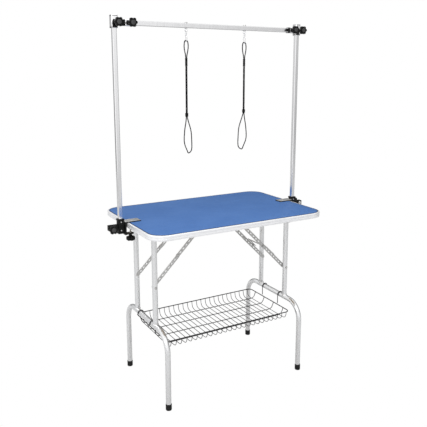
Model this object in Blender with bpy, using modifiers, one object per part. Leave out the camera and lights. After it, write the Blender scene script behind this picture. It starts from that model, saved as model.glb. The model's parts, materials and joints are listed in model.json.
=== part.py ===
"""Folding grooming table with an overhead frame, two nooses and a wire basket.

Metres, +Z up. The origin is on the floor under the middle of the tabletop, +X runs
along the long side and -Y is the front.
"""

import math

import bmesh
import bpy
from mathutils import Matrix, Vector

# Driving dimensions
TOP_LENGTH = 0.915
TOP_WIDTH = 0.61
TOP_HEIGHT = 0.842
TOP_THICKNESS = 0.025
CORNER_RADIUS = 0.075
TUBE_RADIUS = 0.0125
POST_SIDE = 0.019
POST_X = 0.484
BAR_SIDE = 0.020
BAR_Z = 1.7125
LEG_X = 0.368
GAP = 0.0003

# Tabletop layers
TRIM_WIDTH = 0.008
MAT_THICKNESS = 0.003
UNDERSIDE = TOP_HEIGHT - TOP_THICKNESS

# Legs: a bent bow on the feet carries two uprights that reach up to the hinge
UPRIGHT_Y = 0.107
BOW_Y = 0.2345
BOW_Z = 0.355
BOW_BEND = 0.085
HINGE_Z = {"left": 0.795, "right": 0.767}
UPRIGHT_ABOVE_HINGE = 0.010
HINGE_ROD_RADIUS = 0.004
HOLE_CLEARANCE = 0.0004
PLATE = 0.002
FOOT_RADIUS = 0.014
FOOT_HEIGHT = 0.029
FOOT_FLOOR = 0.006

# Folding stays: two equal links that stand in line while the leg is open
STAY_REACH = 0.25
STAY_LINK = STAY_REACH * math.sqrt(2) / 2
STAY_WIDTH = 0.018
UPPER_STAY_Y = 0.0895
LOWER_STAY_Y = 0.0925
STAY_THICKNESS = 0.002
STAY_EAR_Y = 0.0855
STAY_EAR_HALF = 0.0015
RIVET_RADIUS = 0.0048
# The right stays' tie: tabs fix it this far up the lower links, and its cross bar is nearer the knee
TIE_AT = 0.58
TIE_TAB = 0.008
TIE_RISE = 0.056
TIE_BAND = 0.015
TIE_INNER_Y = 0.0880
TIE_OFFSET = 0.0105

# Basket of bent wire, hung on the two bows
BASKET_X = 0.347
BASKET_Y = 0.183
BASKET_RIM_Z = 0.305
BASKET_FLOOR_Z = 0.268
BASKET_WIRE = 0.004
BASKET_RUNS = (-0.128, -0.043, 0.043, 0.128)
BASKET_STATIONS = 14
HOOK_Y = 0.070
HOOK_WIRE_RADIUS = 0.002

# Table clamps that hold the two arm posts
JAW_WIDTH = 0.046
JAW_PLATE = 0.004
JAW_TIP_X = 0.392
SOCKET_SIDE = 0.030
SOCKET_BOTTOM = 0.791
SOCKET_TOP = 0.860
POST_BOTTOM = 0.793
POST_TOP = 1.735
LOCK_X = 0.530
LOCK_Z = 0.822
SCREW_X = 0.436
SCREW_RADIUS = 0.004
LOWER_JAW_Z = 0.7865
PAD_RADIUS = 0.010
PAD_HEIGHT = 0.007
PAD_CUP_DEPTH = 0.004
SCREW_KNOB_Z = 0.771

# Star knobs
KNOB_RADIUS = 0.0175
KNOB_LOBE = 0.0030
KNOB_THICKNESS = 0.018
KNOB_LOBES = 6
KNOB_POINTS = 36

# Overhead frame
SLEEVE_SIDE = 0.028
SLEEVE_BOTTOM = 1.689
SLEEVE_TOP = 1.743
COLLAR_SIDE = 0.026
# How far out from the middle each collar's end on the crossbar is
COLLAR_END = {"left": 0.397, "right": 0.427}
BOSS_RADIUS = 0.007
BOSS_FRONT = -0.030
TOP_KNOBS = {"left": (-0.475, -0.413), "right": (0.494, 0.447)}

# Nooses
NOOSE_X = {"left": -0.1414, "right": 0.172}
CORD_RADIUS = 0.00225
EYE_Z = 1.693
EYE_RADIUS = 0.0065
EYE_WIRE = 0.0015
EYE_SHANK_RADIUS = 0.003
HOOK_RING_RADIUS = 0.006
HOOK_BEND = 0.0065
SNAP_WIRE = 0.0018
HOOK_BOTTOM_Z = 1.6425
FERRULE_TOP = 1.570
FERRULE_BOTTOM = 1.535
STRAND_X = 0.00255
SLIDE_Z = {"left": 1.313, "right": 1.321}
SLIDE_HEIGHT = 0.016
LOOP_BOTTOM = 1.132
# Half widths of each noose's left and right strand, and how far the bottom leans
LOOP_SHAPE = {"left": (0.014, 0.025, 0.008), "right": (0.031, 0.016, -0.010)}

SIDES = {"left": -1, "right": 1}
ENDS = {"front": -1, "rear": 1}
UP = Vector((0, 0, 1))


# Set-up and materials
def clear_scene():
    for obj in list(bpy.data.objects):
        bpy.data.objects.remove(obj, do_unlink=True)


def new_collection(name):
    collection = bpy.data.collections.new(name)
    bpy.context.scene.collection.children.link(collection)
    return collection


def make_material(name, color, roughness, metallic=0.0):
    material = bpy.data.materials.new(name)
    material.use_nodes = True
    shader = material.node_tree.nodes["Principled BSDF"]
    shader.inputs["Base Color"].default_value = (*color, 1.0)
    shader.inputs["Roughness"].default_value = roughness
    shader.inputs["Metallic"].default_value = metallic
    return material


clear_scene()
PARTS = new_collection("grooming_table")
CUTTERS = new_collection("cutters")
CHROME = make_material("chrome", (0.78, 0.78, 0.80), 0.15, 1.0)
PAINTED = make_material("silver_tube", (0.70, 0.71, 0.72), 0.30, 0.8)
ZINC = make_material("zinc", (0.42, 0.42, 0.43), 0.40, 0.9)
TRIM = make_material("aluminium_trim", (0.86, 0.87, 0.88), 0.35, 0.6)
RUBBER_MAT = make_material("blue_mat", (0.07, 0.19, 0.47), 0.65)
BOARD = make_material("board", (0.55, 0.45, 0.33), 0.75)
BLACK = make_material("black_plastic", (0.02, 0.02, 0.02), 0.40)
RUBBER = make_material("black_rubber", (0.025, 0.025, 0.025), 0.75)
WIRE = make_material("coated_wire", (0.06, 0.06, 0.065), 0.35)
CORD = make_material("cord", (0.03, 0.03, 0.035), 0.80)


# Modelling helpers
def finish(obj, name, material, smooth=True):
    """Names a part, gives it its material and puts it in the parts collection."""
    obj.name = name
    obj.data.name = name
    for collection in list(obj.users_collection):
        collection.objects.unlink(obj)
    PARTS.objects.link(obj)
    obj.data.materials.clear()
    obj.data.materials.append(material)
    if smooth and obj.type == "MESH":
        obj.data.shade_smooth()
        obj.data.set_sharp_from_angle(angle=math.radians(35))
    return obj


def mesh_object(name, mesh):
    obj = bpy.data.objects.new(name, mesh)
    PARTS.objects.link(obj)
    return obj


def box(name, low, high):
    """A box between two opposite corners, with its origin in its middle."""
    mesh = bpy.data.meshes.new(name)
    builder = bmesh.new()
    bmesh.ops.create_cube(builder, size=1.0)
    size = Vector(high) - Vector(low)
    bmesh.ops.scale(builder, vec=size, verts=builder.verts)
    builder.to_mesh(mesh)
    builder.free()
    obj = mesh_object(name, mesh)
    obj.location = (Vector(high) + Vector(low)) / 2
    return obj


def rod(name, start, end, radius, sides=16):
    """A closed cylinder from start to end."""
    start = Vector(start)
    end = Vector(end)
    mesh = bpy.data.meshes.new(name)
    builder = bmesh.new()
    bmesh.ops.create_cone(
        builder, cap_ends=True, segments=sides, radius1=radius, radius2=radius, depth=(end - start).length
    )
    builder.to_mesh(mesh)
    builder.free()
    obj = mesh_object(name, mesh)
    obj.location = (start + end) / 2
    obj.rotation_mode = "QUATERNION"
    obj.rotation_quaternion = (end - start).to_track_quat("Z", "Y")
    return obj


def torus(name, centre, radius, wire, axis):
    bpy.ops.mesh.primitive_torus_add(
        major_radius=radius, minor_radius=wire, major_segments=16, minor_segments=6, location=centre
    )
    obj = bpy.context.object
    obj.name = name
    obj.rotation_mode = "QUATERNION"
    obj.rotation_quaternion = Vector(axis).to_track_quat("Z", "Y")
    return obj


def tube(name, points, radius, cyclic=False, resolution=2):
    """A round wire through the points, as a curve with filled ends."""
    curve = bpy.data.curves.new(name, "CURVE")
    curve.dimensions = "3D"
    curve.bevel_depth = radius
    curve.bevel_resolution = resolution
    curve.use_fill_caps = not cyclic
    spline = curve.splines.new("POLY")
    spline.points.add(len(points) - 1)
    for spline_point, point in zip(spline.points, points):
        spline_point.co = (*point, 1.0)
    spline.use_cyclic_u = cyclic
    return mesh_object(name, curve)


def plate(name, outlines, thickness, matrix):
    """A flat plate from 2D outlines, the later ones being holes, centred on its own XY plane."""
    curve = bpy.data.curves.new(name, "CURVE")
    curve.dimensions = "2D"
    curve.fill_mode = "BOTH"
    curve.extrude = thickness / 2
    for outline in outlines:
        spline = curve.splines.new("POLY")
        spline.points.add(len(outline) - 1)
        for spline_point, (u, v) in zip(spline.points, outline):
            spline_point.co = (u, v, 0.0, 1.0)
        spline.use_cyclic_u = True
    obj = mesh_object(name, curve)
    obj.matrix_world = matrix
    return as_mesh(obj)


def as_mesh(obj):
    """Turns a curve object into a closed mesh object in the same place."""
    bpy.context.view_layer.update()
    evaluated = obj.evaluated_get(bpy.context.evaluated_depsgraph_get())
    mesh = bpy.data.meshes.new_from_object(evaluated)
    builder = bmesh.new()
    builder.from_mesh(mesh)
    bmesh.ops.remove_doubles(builder, verts=builder.verts, dist=0.00001)
    bmesh.ops.recalc_face_normals(builder, faces=builder.faces)
    builder.to_mesh(mesh)
    builder.free()
    new = mesh_object(obj.name + "_mesh", mesh)
    new.matrix_world = obj.matrix_world
    bpy.data.objects.remove(obj, do_unlink=True)
    return new


def boolean(obj, other, operation):
    """Joins or cuts obj with other, which becomes a hidden cutter."""
    for collection in list(other.users_collection):
        collection.objects.unlink(other)
    CUTTERS.objects.link(other)
    other.hide_render = True
    other.display_type = "WIRE"
    modifier = obj.modifiers.new(other.name, "BOOLEAN")
    modifier.operation = operation
    modifier.object = other
    return obj


def join(obj, *others):
    for other in others:
        boolean(obj, other, "UNION")
    return obj


def cut(obj, *others):
    for other in others:
        boolean(obj, other, "DIFFERENCE")
    return obj


def soften(obj, width, segments=2):
    bevel = obj.modifiers.new("soft_edges", "BEVEL")
    bevel.width = width
    bevel.segments = segments
    bevel.limit_method = "ANGLE"
    return obj


def arc(centre, radius, start, end, steps):
    """Points on a 2D arc, angles in degrees."""
    points = []
    for step in range(steps + 1):
        angle = math.radians(start + (end - start) * step / steps)
        points.append((centre[0] + radius * math.cos(angle), centre[1] + radius * math.sin(angle)))
    return points


def rounded_rectangle(length, width, radius, steps=6):
    x = length / 2 - radius
    y = width / 2 - radius
    points = []
    for quarter, (sx, sy) in enumerate(((1, 1), (-1, 1), (-1, -1), (1, -1))):
        points += arc((sx * x, sy * y), radius, 90 * quarter, 90 * quarter + 90, steps)
    return points


def bar_outline(length, width):
    """A flat link with round ends, from its first pivot at the origin along +X."""
    radius = width / 2
    return arc((0, 0), radius, 90, 270, 8) + arc((length, 0), radius, -90, 90, 8)


def facing(normal, up, origin):
    """A matrix whose Z is the normal and whose Y is up."""
    z = Vector(normal).normalized()
    y = Vector(up).normalized()
    x = y.cross(z)
    return Matrix.Translation(origin) @ Matrix((x, y, z)).transposed().to_4x4()


def smooth_path(points, count):
    """Points spread along a smooth curve through the given ones."""
    padded = [points[0] * 2 - points[1]] + points + [points[-1] * 2 - points[-2]]
    spans = len(points) - 1
    result = []
    for step in range(count + 1):
        place = min(step / count * spans, spans - 1e-9)
        span = int(place)
        t = place - span
        a, b, c, d = padded[span : span + 4]
        result.append(
            0.5 * (2 * b + (c - a) * t + (2 * a - 5 * b + 4 * c - d) * t**2 + (3 * b - a - 3 * c + d) * t**3)
        )
    return result


def star_knob(name, face, direction, stud_end):
    """A lobed knob whose back is at face and whose stud runs on to stud_end."""
    outline = []
    for step in range(KNOB_POINTS):
        angle = 2 * math.pi * step / KNOB_POINTS
        radius = KNOB_RADIUS + KNOB_LOBE * math.cos(KNOB_LOBES * angle)
        outline.append((radius * math.cos(angle), radius * math.sin(angle)))
    direction = Vector(direction)
    up = (0, 0, 1) if abs(direction.z) < 0.5 else (0, 1, 0)
    middle = Vector(face) + direction * KNOB_THICKNESS / 2
    head = plate(name, [outline], KNOB_THICKNESS, facing(direction, up, middle))
    stud = rod(name + "_stud", Vector(face) + direction * 0.004, stud_end, SCREW_RADIUS)
    return finish(join(head, stud), name, BLACK)


# Tabletop
def tabletop():
    inner = (TOP_LENGTH - 2 * TRIM_WIDTH, TOP_WIDTH - 2 * TRIM_WIDTH, CORNER_RADIUS - TRIM_WIDTH)
    filling = rounded_rectangle(inner[0] - 2 * GAP, inner[1] - 2 * GAP, inner[2])
    mat_middle = TOP_HEIGHT - MAT_THICKNESS / 2
    mat = plate("mat", [filling], MAT_THICKNESS, Matrix.Translation((0, 0, mat_middle)))
    finish(mat, "tabletop_mat", RUBBER_MAT)
    board_top = TOP_HEIGHT - MAT_THICKNESS - GAP
    board_middle = (board_top + UNDERSIDE) / 2
    board = plate("board", [filling], board_top - UNDERSIDE, Matrix.Translation((0, 0, board_middle)))
    finish(board, "tabletop_board", BOARD)
    rings = [rounded_rectangle(TOP_LENGTH, TOP_WIDTH, CORNER_RADIUS), rounded_rectangle(*inner)]
    trim_middle = TOP_HEIGHT - TOP_THICKNESS / 2
    trim = plate("trim", rings, TOP_THICKNESS, Matrix.Translation((0, 0, trim_middle)))
    finish(trim, "edge_trim", TRIM)


# Legs
def bow_points(x):
    """The centre line of a leg bow, from one foot up, across and down to the other."""
    bottom = FOOT_FLOOR + GAP
    y = BOW_Y - BOW_BEND
    z = BOW_Z - BOW_BEND
    points = [(-BOW_Y, bottom)]
    points += arc((-y, z), BOW_BEND, 180, 90, 8)
    points += arc((y, z), BOW_BEND, 90, 0, 8)
    points.append((BOW_Y, bottom))
    return [(x, v, w) for v, w in points]


def leg_frame(side):
    x = SIDES[side] * LEG_X
    top = HINGE_Z[side] + UPRIGHT_ABOVE_HINGE
    frame = as_mesh(tube(side + "_bow", bow_points(x), TUBE_RADIUS, resolution=3))
    for end, sign in ENDS.items():
        y = sign * UPRIGHT_Y
        upright = rod(f"{side}_{end}_upright", (x, y, BOW_Z), (x, y, top), TUBE_RADIUS)
        join(frame, upright)
    reach = UPRIGHT_Y + 0.03
    bore_radius = HINGE_ROD_RADIUS + HOLE_CLEARANCE
    z = HINGE_Z[side]
    cut(frame, rod(side + "_hinge_bore", (x, -reach, z), (x, reach, z), bore_radius))
    finish(frame, side + "_leg_frame", PAINTED)


def foot(side, end):
    x = SIDES[side] * LEG_X
    y = ENDS[end] * BOW_Y
    mesh = bpy.data.meshes.new("foot")
    inner = TUBE_RADIUS + GAP
    profile = [
        (0, FOOT_FLOOR),
        (inner, FOOT_FLOOR),
        (inner, FOOT_HEIGHT),
        (FOOT_RADIUS - 0.0003, FOOT_HEIGHT),
        (FOOT_RADIUS, FOOT_HEIGHT - 0.001),
        (FOOT_RADIUS, 0.002),
        (FOOT_RADIUS - 0.002, 0),
        (0, 0),
    ]
    builder = bmesh.new()
    verts = [builder.verts.new((r, 0, z)) for r, z in profile]
    for first, second in zip(verts, verts[1:]):
        builder.edges.new((first, second))
    builder.to_mesh(mesh)
    builder.free()
    obj = mesh_object("foot", mesh)
    obj.location = (x, y, 0)
    screw = obj.modifiers.new("turn", "SCREW")
    screw.steps = 16
    screw.render_steps = 16
    screw.use_merge_vertices = True
    screw.merge_threshold = 0.0001
    finish(obj, f"foot_{side}_{end}", RUBBER, smooth=False)


def hinge(side):
    """The two clevis brackets under the top and the rod that both uprights turn on."""
    x = SIDES[side] * LEG_X
    z = HINGE_Z[side]
    cheek = TUBE_RADIUS + 0.002
    for end, sign in ENDS.items():
        y = sign * UPRIGHT_Y
        top = UNDERSIDE - GAP
        low = z - 0.010
        outline = [
            (-cheek - PLATE, low),
            (-cheek, low),
            (-cheek, top - PLATE),
            (cheek, top - PLATE),
            (cheek, low),
            (cheek + PLATE, low),
            (cheek + PLATE, top),
            (-cheek - PLATE, top),
        ]
        matrix = facing((1, 0, 0), (0, 0, 1), (x, y, 0))
        bracket = plate(f"bracket_{side}_{end}", [outline], 0.030, matrix)
        bore_name = f"bracket_bore_{side}_{end}"
        bore = rod(bore_name, (x, y - 0.03, z), (x, y + 0.03, z), HINGE_ROD_RADIUS + HOLE_CLEARANCE)
        finish(cut(bracket, bore), f"hinge_bracket_{side}_{end}", ZINC)
    reach = UPRIGHT_Y + cheek + PLATE + 0.004
    rod_body = rod(f"hinge_rod_{side}", (x, -reach, z), (x, reach, z), HINGE_ROD_RADIUS)
    finish(rod_body, f"hinge_rod_{side}", ZINC)


def stay_channel(side):
    """The channel under the top with an ear at each end for the upper stays."""
    x = SIDES[side] * (LEG_X - STAY_REACH)
    top = UNDERSIDE - GAP
    low = HINGE_Z[side] - 0.009
    outer = STAY_EAR_Y + STAY_EAR_HALF
    inner = STAY_EAR_Y - STAY_EAR_HALF
    outline = [
        (-outer, low),
        (-inner, low),
        (-inner, top - PLATE),
        (inner, top - PLATE),
        (inner, low),
        (outer, low),
        (outer, top),
        (-outer, top),
    ]
    channel = plate(side + "_channel", [outline], 0.024, facing((1, 0, 0), (0, 0, 1), (x, 0, 0)))
    finish(channel, f"stay_channel_{side}", ZINC)


def stay_link(name, pivot, direction, y, rivet_to):
    """One flat stay link with the rivet head at its pivot, facing rivet_to."""
    normal = Vector((0, -1, 0))
    along = Vector(direction).normalized()
    up = normal.cross(along)
    origin = Vector((pivot[0], y, pivot[1]))
    link = plate(name, [bar_outline(STAY_LINK, STAY_WIDTH)], STAY_THICKNESS, facing(normal, up, origin))
    head = rod(name + "_rivet", origin, (pivot[0], rivet_to, pivot[1]), RIVET_RADIUS, 12)
    return join(link, head)


def stays(side):
    s = SIDES[side]
    z = HINGE_Z[side]
    top_pivot = (s * (LEG_X - STAY_REACH), z)
    leg_pivot = (s * LEG_X, z - STAY_REACH)
    down = (s, 0, -1)
    up = (-s, 0, 1)
    lowers = []
    for end, sign in ENDS.items():
        upper_name = f"upper_stay_{side}_{end}"
        ear_face = sign * (STAY_EAR_Y + STAY_EAR_HALF + GAP)
        upper = stay_link(upper_name, top_pivot, down, sign * UPPER_STAY_Y, ear_face)
        finish(upper, upper_name, ZINC)
        lower_name = f"lower_stay_{side}_{end}"
        rivet_to = sign * (UPRIGHT_Y - TUBE_RADIUS - GAP)
        lowers.append(stay_link(lower_name, leg_pivot, up, sign * LOWER_STAY_Y, rivet_to))
    if side == "left":
        for lower, end in zip(lowers, ENDS):
            finish(lower, f"lower_stay_{side}_{end}", ZINC)
        return
    finish(join(lowers[0], lowers[1], stay_tie(leg_pivot, up)), "lower_stay_right", ZINC)


def stay_tie(leg_pivot, direction):
    """The right stays' tie: a bracket that clears the upper links and a tab on each lower link."""
    along = Vector(direction).normalized()
    across = Vector((along.z, 0, -along.x))
    base = Vector((leg_pivot[0], 0, leg_pivot[1])) + along * STAY_LINK * TIE_AT
    half = LOWER_STAY_Y
    arm = TIE_INNER_Y - TIE_BAND
    outline = [
        (-half, -TIE_TAB),
        (-arm, -TIE_TAB),
        (-arm, TIE_RISE - TIE_BAND),
        (arm, TIE_RISE - TIE_BAND),
        (arm, -TIE_TAB),
        (half, -TIE_TAB),
        (half, TIE_TAB),
        (TIE_INNER_Y, TIE_TAB),
        (TIE_INNER_Y, TIE_RISE),
        (-TIE_INNER_Y, TIE_RISE),
        (-TIE_INNER_Y, TIE_TAB),
        (-half, TIE_TAB),
    ]
    bracket = plate("stay_tie", [outline], PLATE, facing(across, along, base + across * TIE_OFFSET))
    tab = [
        (-TIE_TAB, -TIE_OFFSET - 0.0005),
        (TIE_TAB, -TIE_OFFSET - 0.0005),
        (TIE_TAB, -STAY_WIDTH / 2 + 0.003),
        (-TIE_TAB, -STAY_WIDTH / 2 + 0.003),
    ]
    for y in (-LOWER_STAY_Y, LOWER_STAY_Y):
        place = facing((0, -1, 0), -across, base + Vector((0, y, 0)))
        join(bracket, plate("stay_tie_tab", [tab], STAY_THICKNESS, place))
    return bracket


# Basket
def basket():
    """A lattice of bars on a tray-shaped grid: a raised rim all round and a flat floor."""
    runs = (-BASKET_Y, *BASKET_RUNS, BASKET_Y)
    last = BASKET_STATIONS - 1
    builder = bmesh.new()
    rows = []
    for station in range(BASKET_STATIONS):
        x = -BASKET_X + 2 * BASKET_X * station / last
        row = []
        for y in runs:
            at_rim = station in (0, last) or abs(y) == BASKET_Y
            row.append(builder.verts.new((x, y, BASKET_RIM_Z if at_rim else BASKET_FLOOR_Z)))
        rows.append(row)
    for row, following in zip(rows, rows[1:]):
        for index in range(len(runs) - 1):
            builder.faces.new((row[index], row[index + 1], following[index + 1], following[index]))
    bmesh.ops.recalc_face_normals(builder, faces=builder.faces)
    mesh = bpy.data.meshes.new("basket")
    builder.to_mesh(mesh)
    builder.free()
    obj = mesh_object("basket", mesh)
    wires = obj.modifiers.new("wires", "WIREFRAME")
    wires.thickness = BASKET_WIRE
    wires.use_boundary = True
    wires.use_even_offset = False
    finish(obj, "basket", WIRE, smooth=False)


def basket_hook(side, end):
    """A wire that hooks over the bow and drops inside it to the basket's rim."""
    s = SIDES[side]
    y = ENDS[end] * HOOK_Y
    radius = TUBE_RADIUS + GAP + HOOK_WIRE_RADIUS
    foot_z = BASKET_RIM_Z + BASKET_WIRE / 2 + GAP
    inboard = s * (LEG_X - radius)
    points = [(inboard, foot_z)]
    for step in range(11):
        angle = math.pi * step / 10
        points.append((s * (LEG_X - radius * math.cos(angle)), BOW_Z + radius * math.sin(angle)))
    points.append((s * (LEG_X + radius), BOW_Z - 0.006))
    wire = tube("hook", [(x, y, z) for x, z in points], HOOK_WIRE_RADIUS)
    finish(wire, f"basket_hook_{side}_{end}", WIRE)


# Clamps and arm posts
def turned(point, side):
    """The right clamp is the left clamp turned half way round the vertical axis."""
    sign = -SIDES[side]
    return Vector((sign * point[0], sign * point[1], point[2]))


def corners(side, low, high):
    first = turned(low, side)
    second = turned(high, side)
    lowest = [min(a, b) for a, b in zip(first, second)]
    highest = [max(a, b) for a, b in zip(first, second)]
    return lowest, highest


def clamp_jaw(side):
    sign = -SIDES[side]
    back = POST_X - SOCKET_SIDE / 2 - GAP
    front = back - 0.008
    top_z = TOP_HEIGHT + GAP
    plate_z = top_z + JAW_PLATE
    arm_low = LOWER_JAW_Z - 0.0025
    arm_high = LOWER_JAW_Z + 0.0025
    tip_x = SCREW_X - 0.012
    outline = [
        (-back, arm_low),
        (-tip_x, arm_low),
        (-tip_x, arm_high),
        (-front, arm_high),
        (-front, top_z),
        (-JAW_TIP_X, top_z),
        (-JAW_TIP_X, plate_z),
        (-back, plate_z),
    ]
    matrix = facing((0, -sign, 0), (0, 0, 1), (0, 0, 0))
    jaw = plate(f"jaw_{side}", [outline], JAW_WIDTH, matrix)
    low = turned((-SCREW_X, 0, arm_low - 0.01), side)
    high = turned((-SCREW_X, 0, arm_high + 0.01), side)
    bore = rod(f"jaw_bore_{side}", low, high, SCREW_RADIUS + HOLE_CLEARANCE)
    finish(cut(jaw, bore), f"clamp_jaw_{side}", ZINC)


def clamp_socket(side):
    """The square socket round the post's foot, with the ear that its lock knob pulls on."""
    half = SOCKET_SIDE / 2
    body_corners = corners(side, (-POST_X - half, -half, SOCKET_BOTTOM), (-POST_X + half, half, SOCKET_TOP))
    body = box(f"socket_{side}", *body_corners)
    soften(body, 0.002)
    ear_low = (-LOCK_X - 0.012, -0.011, LOCK_Z - 0.013)
    ear_high = (-POST_X - half + 0.002, 0.011, LOCK_Z + 0.013)
    ear = box(f"socket_ear_{side}", *corners(side, ear_low, ear_high))
    hole_half = POST_SIDE / 2 + GAP
    hole_low = (-POST_X - hole_half, -hole_half, SOCKET_BOTTOM + 0.0015)
    hole_high = (-POST_X + hole_half, hole_half, SOCKET_TOP + 0.01)
    hole = box(f"socket_hole_{side}", *corners(side, hole_low, hole_high))
    bore = rod(
        f"socket_bore_{side}",
        turned((-LOCK_X, -0.02, LOCK_Z), side),
        turned((-LOCK_X, 0.02, LOCK_Z), side),
        SCREW_RADIUS + HOLE_CLEARANCE,
    )
    join(body, ear)
    cut(body, hole, bore)
    finish(body, f"clamp_socket_{side}", BLACK)


def clamp_screw(side):
    """The pad under the board and, cupped in it, the screw with its knob."""
    axis = turned((-SCREW_X, 0, 0), side)
    pad_top = UNDERSIDE - GAP
    pad_bottom = pad_top - PAD_HEIGHT
    cup_top = pad_bottom + PAD_CUP_DEPTH
    pad = rod(f"pad_{side}", axis + UP * pad_bottom, axis + UP * pad_top, PAD_RADIUS, 20)
    cup_radius = SCREW_RADIUS + HOLE_CLEARANCE
    cup = rod(f"pad_cup_{side}", axis + UP * (pad_bottom - 0.002), axis + UP * cup_top, cup_radius)
    finish(cut(pad, cup), f"clamp_pad_{side}", RUBBER)
    star_knob(f"clamp_screw_{side}", axis + UP * SCREW_KNOB_Z, (0, 0, -1), axis + UP * (cup_top - GAP))


def post_lock_knob(side):
    front = turned((0, -1, 0), side)
    face = turned((-LOCK_X, -0.028, LOCK_Z), side)
    star_knob(f"post_lock_knob_{side}", face, front, turned((-LOCK_X, 0.016, LOCK_Z), side))


def arm_post(side):
    x = SIDES[side] * POST_X
    half = POST_SIDE / 2
    post = box(f"post_{side}", (x - half, -half, POST_BOTTOM), (x + half, half, POST_TOP))
    soften(post, 0.0025)
    finish(post, f"arm_post_{side}", CHROME)


# Overhead frame
def corner_sleeve(side):
    """The sleeve on the post's head, with a collar round the crossbar and two bosses."""
    s = SIDES[side]
    half = SLEEVE_SIDE / 2
    middle = s * POST_X
    body = box(f"sleeve_{side}", (middle - half, -half, SLEEVE_BOTTOM), (middle + half, half, SLEEVE_TOP))
    soften(body, 0.002)
    collar_half = COLLAR_SIDE / 2
    collar_x = sorted((s * (POST_X - half + 0.002), s * COLLAR_END[side]))
    collar = box(
        f"collar_{side}",
        (collar_x[0], -collar_half, BAR_Z - collar_half),
        (collar_x[1], collar_half, BAR_Z + collar_half),
    )
    join(body, collar)
    for number, x in enumerate(TOP_KNOBS[side]):
        join(body, rod(f"boss_{side}_{number}", (x, -0.011, BAR_Z), (x, BOSS_FRONT, BAR_Z), BOSS_RADIUS))
    hole_half = POST_SIDE / 2 + GAP
    post_hole = box(
        f"post_hole_{side}",
        (s * POST_X - hole_half, -hole_half, SLEEVE_BOTTOM - 0.01),
        (s * POST_X + hole_half, hole_half, SLEEVE_TOP + 0.01),
    )
    bar_half = BAR_SIDE / 2 + GAP
    bar_x = sorted((s * (bar_end() + GAP), s * (COLLAR_END[side] - 0.02)))
    hole_low = (bar_x[0], -bar_half, BAR_Z - bar_half)
    bar_hole = box(f"bar_hole_{side}", hole_low, (bar_x[1], bar_half, BAR_Z + bar_half))
    cut(body, post_hole, bar_hole)
    for number, x in enumerate(TOP_KNOBS[side]):
        bore_radius = SCREW_RADIUS + HOLE_CLEARANCE
        bore_end = (x, BOSS_FRONT - 0.01, BAR_Z)
        cut(body, rod(f"boss_bore_{side}_{number}", (x, -0.0165, BAR_Z), bore_end, bore_radius))
    finish(body, f"corner_sleeve_{side}", CHROME)


def bar_end():
    return POST_X - SLEEVE_SIDE / 2 - 0.003


def top_knobs(side):
    for name, x in zip(("outer", "inner"), TOP_KNOBS[side]):
        star_knob(f"top_knob_{side}_{name}", (x, BOSS_FRONT - GAP, BAR_Z), (0, -1, 0), (x, -0.0170, BAR_Z))


def crossbar():
    half = BAR_SIDE / 2
    bar = box("bar", (-bar_end(), -half, BAR_Z - half), (bar_end(), half, BAR_Z + half))
    soften(bar, 0.0025)
    for side, x in NOOSE_X.items():
        bore_radius = EYE_SHANK_RADIUS + HOLE_CLEARANCE
        cut(bar, rod(f"bar_bore_{side}", (x, 0, BAR_Z - 0.02), (x, 0, BAR_Z + 0.02), bore_radius))
    finish(bar, "crossbar", CHROME)


# Nooses
def eye_bolt(side):
    x = NOOSE_X[side]
    top = BAR_Z + BAR_SIDE / 2 + GAP
    shank_low = (x, 0, EYE_Z + EYE_RADIUS - 0.0005)
    shank = rod(f"shank_{side}", shank_low, (x, 0, top + 0.006), EYE_SHANK_RADIUS, 12)
    nut = rod(f"nut_{side}", (x, 0, top), (x, 0, top + 0.005), 0.006, 6)
    washer_top = (x, 0, BAR_Z - BAR_SIDE / 2 - GAP)
    collar = rod(f"washer_{side}", (x, 0, EYE_Z + EYE_RADIUS), washer_top, 0.005, 16)
    eye = torus(f"eye_{side}", (x, 0, EYE_Z), EYE_RADIUS, EYE_WIRE, (0, 1, 0))
    finish(join(shank, nut, collar, eye), f"eye_bolt_{side}", CHROME)


def snap_hook(side):
    """A swivel ring through the eye, a barrel and the long hook that takes the cord."""
    x = NOOSE_X[side]
    ring_z = EYE_Z - EYE_RADIUS + 2 * EYE_WIRE + GAP - HOOK_RING_RADIUS
    barrel_top = ring_z - HOOK_RING_RADIUS + 0.001
    barrel_bottom = barrel_top - 0.008
    ring = torus(f"hook_ring_{side}", (x, 0, ring_z), HOOK_RING_RADIUS, EYE_WIRE, (1, 0, 0))
    barrel = rod(f"hook_barrel_{side}", (x, 0, barrel_top), (x, 0, barrel_bottom), 0.0042)
    radius = HOOK_BEND
    top_z = barrel_bottom - radius + 0.001
    low_z = HOOK_BOTTOM_Z + radius
    outline = arc((0, top_z), radius, 0, 180, 8) + arc((0, low_z), radius, 180, 360, 8)
    points = [(x, y, z) for y, z in outline]
    hook = as_mesh(tube(f"hook_{side}", points, SNAP_WIRE, cyclic=True))
    finish(join(barrel, ring, hook), f"snap_hook_{side}", CHROME)


def top_loop_points(x):
    """The cord's short loop from the ferrule over the snap hook and back."""
    low = FERRULE_TOP + GAP
    high = HOOK_BOTTOM_Z + SNAP_WIRE + CORD_RADIUS + GAP
    route = [
        (-STRAND_X, low),
        (-0.0040, low + 0.014),
        (-0.0082, low + 0.032),
        (-0.0104, low + 0.052),
        (-0.0078, high - 0.0042),
        (0, high),
        (0.0078, high - 0.0042),
        (0.0104, low + 0.052),
        (0.0082, low + 0.032),
        (0.0040, low + 0.014),
        (STRAND_X, low),
    ]
    return [Vector((x + u, 0, z)) for u, z in route]


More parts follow.
